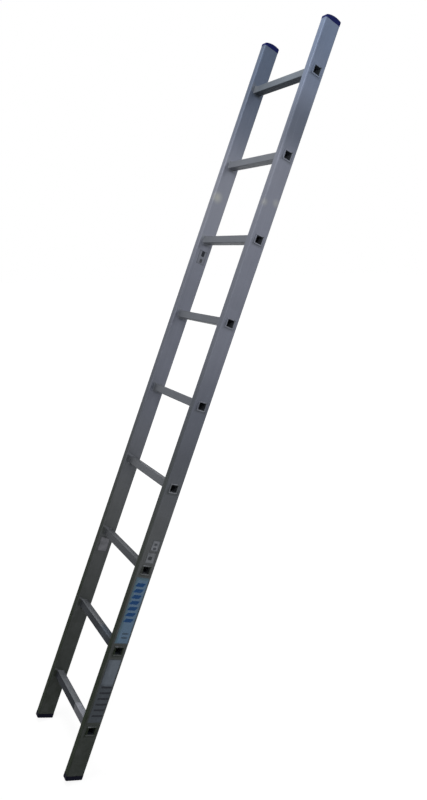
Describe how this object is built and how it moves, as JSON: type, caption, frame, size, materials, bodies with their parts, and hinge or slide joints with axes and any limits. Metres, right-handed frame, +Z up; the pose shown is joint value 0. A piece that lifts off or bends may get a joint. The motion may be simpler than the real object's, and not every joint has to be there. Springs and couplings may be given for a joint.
{
  "type": "leaning ladder",
  "caption": "One-piece aluminium leaning ladder: box-section stiles with square rungs swaged through them, plastic feet and crowned top caps, standing as it leans on a wall.",
  "frame": {"origin": "on the floor, midway between the feet, under the rounded rear edges of the soles", "axes": "+Z up, +Y towards the wall that the ladder leans on, +X to the climber's right along the rungs"},
  "size_m": [0.365, 1.025, 2.4162],
  "materials": {
    "stile_aluminium": "extruded mill finish, dulled by use and dirtier towards the floor",
    "rung_aluminium": "extruded mill finish with worn treads",
    "cap_plastic": "moulded dark navy plastic, fine grain",
    "label_film": "bare silver-grey adhesive film, scuffed"
  },
  "bodies": {
    "root": {"stile_left": "stile_aluminium", "stile_right": "stile_aluminium", "rung_1": "rung_aluminium", "rung_2": "rung_aluminium", "rung_3": "rung_aluminium", "rung_4": "rung_aluminium", "rung_5": "rung_aluminium", "rung_6": "rung_aluminium", "rung_7": "rung_aluminium", "rung_8": "rung_aluminium", "rung_9": "rung_aluminium", "foot_left": "cap_plastic", "foot_right": "cap_plastic", "top_cap_left": "cap_plastic", "top_cap_right": "cap_plastic", "label_main": "label_film", "label_lower": "label_film", "label_small_lower": "label_film", "label_small_upper": "label_film", "label_inner_low": "label_film", "label_inner_high": "label_film"}
  },
  "joints": []
}
